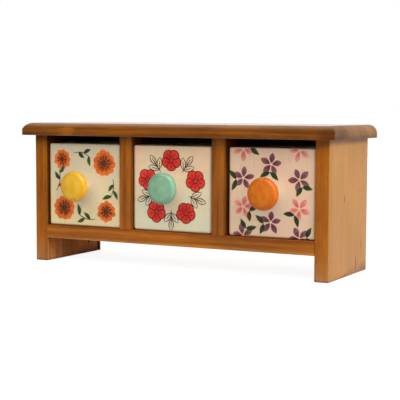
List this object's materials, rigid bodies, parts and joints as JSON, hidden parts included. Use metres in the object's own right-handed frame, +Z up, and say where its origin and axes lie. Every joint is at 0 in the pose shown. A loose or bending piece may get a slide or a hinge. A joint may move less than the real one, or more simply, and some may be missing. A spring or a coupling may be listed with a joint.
{
  "type": "tabletop chest of drawers",
  "caption": "Low wooden tabletop cabinet with a rounded-over top on side-panel feet, holding ceramic drawers side by side, each with a round glazed knob.",
  "frame": {"origin": "on the table under the middle of the chest: midway across its width, and midway from the knobs to the back", "axes": "+X along the width to the viewer's right, the drawers open towards -Y, +Z up"},
  "size_m": [0.3498, 0.1246, 0.1453],
  "materials": {
    "stained_wood": "honey-brown stain, satin",
    "back_board": "thin board, stained",
    "plain_wood": "turned, unfinished",
    "steel_pins": "dull",
    "plated_steel": "zinc plated",
    "glaze_left": "cream glaze",
    "glaze_centre": "peach glaze",
    "glaze_right": "pale pink glaze",
    "knob_glaze_left": "yellow glaze",
    "knob_glaze_centre": "sea green glaze",
    "knob_glaze_right": "orange glaze"
  },
  "bodies": {
    "cabinet": {"top_board": "stained_wood", "side_panel_left": "stained_wood", "side_panel_right": "stained_wood", "drawer_shelf": "stained_wood", "divider_left": "stained_wood", "divider_right": "stained_wood", "back_panel": "back_board", "back_pins": "steel_pins", "top_pegs_left": "plain_wood", "top_pegs_right": "plain_wood"},
    "drawer_left": {"drawer_left": "glaze_left", "knob_left": "knob_glaze_left", "knob_stud_left": "plated_steel", "knob_washer_left": "plated_steel", "knob_nut_left": "plated_steel"},
    "drawer_centre": {"drawer_centre": "glaze_centre", "knob_centre": "knob_glaze_centre", "knob_stud_centre": "plated_steel", "knob_washer_centre": "plated_steel", "knob_nut_centre": "plated_steel"},
    "drawer_right": {"drawer_right": "glaze_right", "knob_right": "knob_glaze_right", "knob_stud_right": "plated_steel", "knob_washer_right": "plated_steel", "knob_nut_right": "plated_steel"}
  },
  "joints": [
    {"name": "left_drawer_slide", "type": "slide", "parent": "cabinet", "child": "drawer_left", "axis": [0, -1, 0], "range_m": [0, 0.075]},
    {"name": "centre_drawer_slide", "type": "slide", "parent": "cabinet", "child": "drawer_centre", "axis": [0, -1, 0], "range_m": [0, 0.075]},
    {"name": "right_drawer_slide", "type": "slide", "parent": "cabinet", "child": "drawer_right", "axis": [0, -1, 0], "range_m": [0, 0.075]}
  ]
}
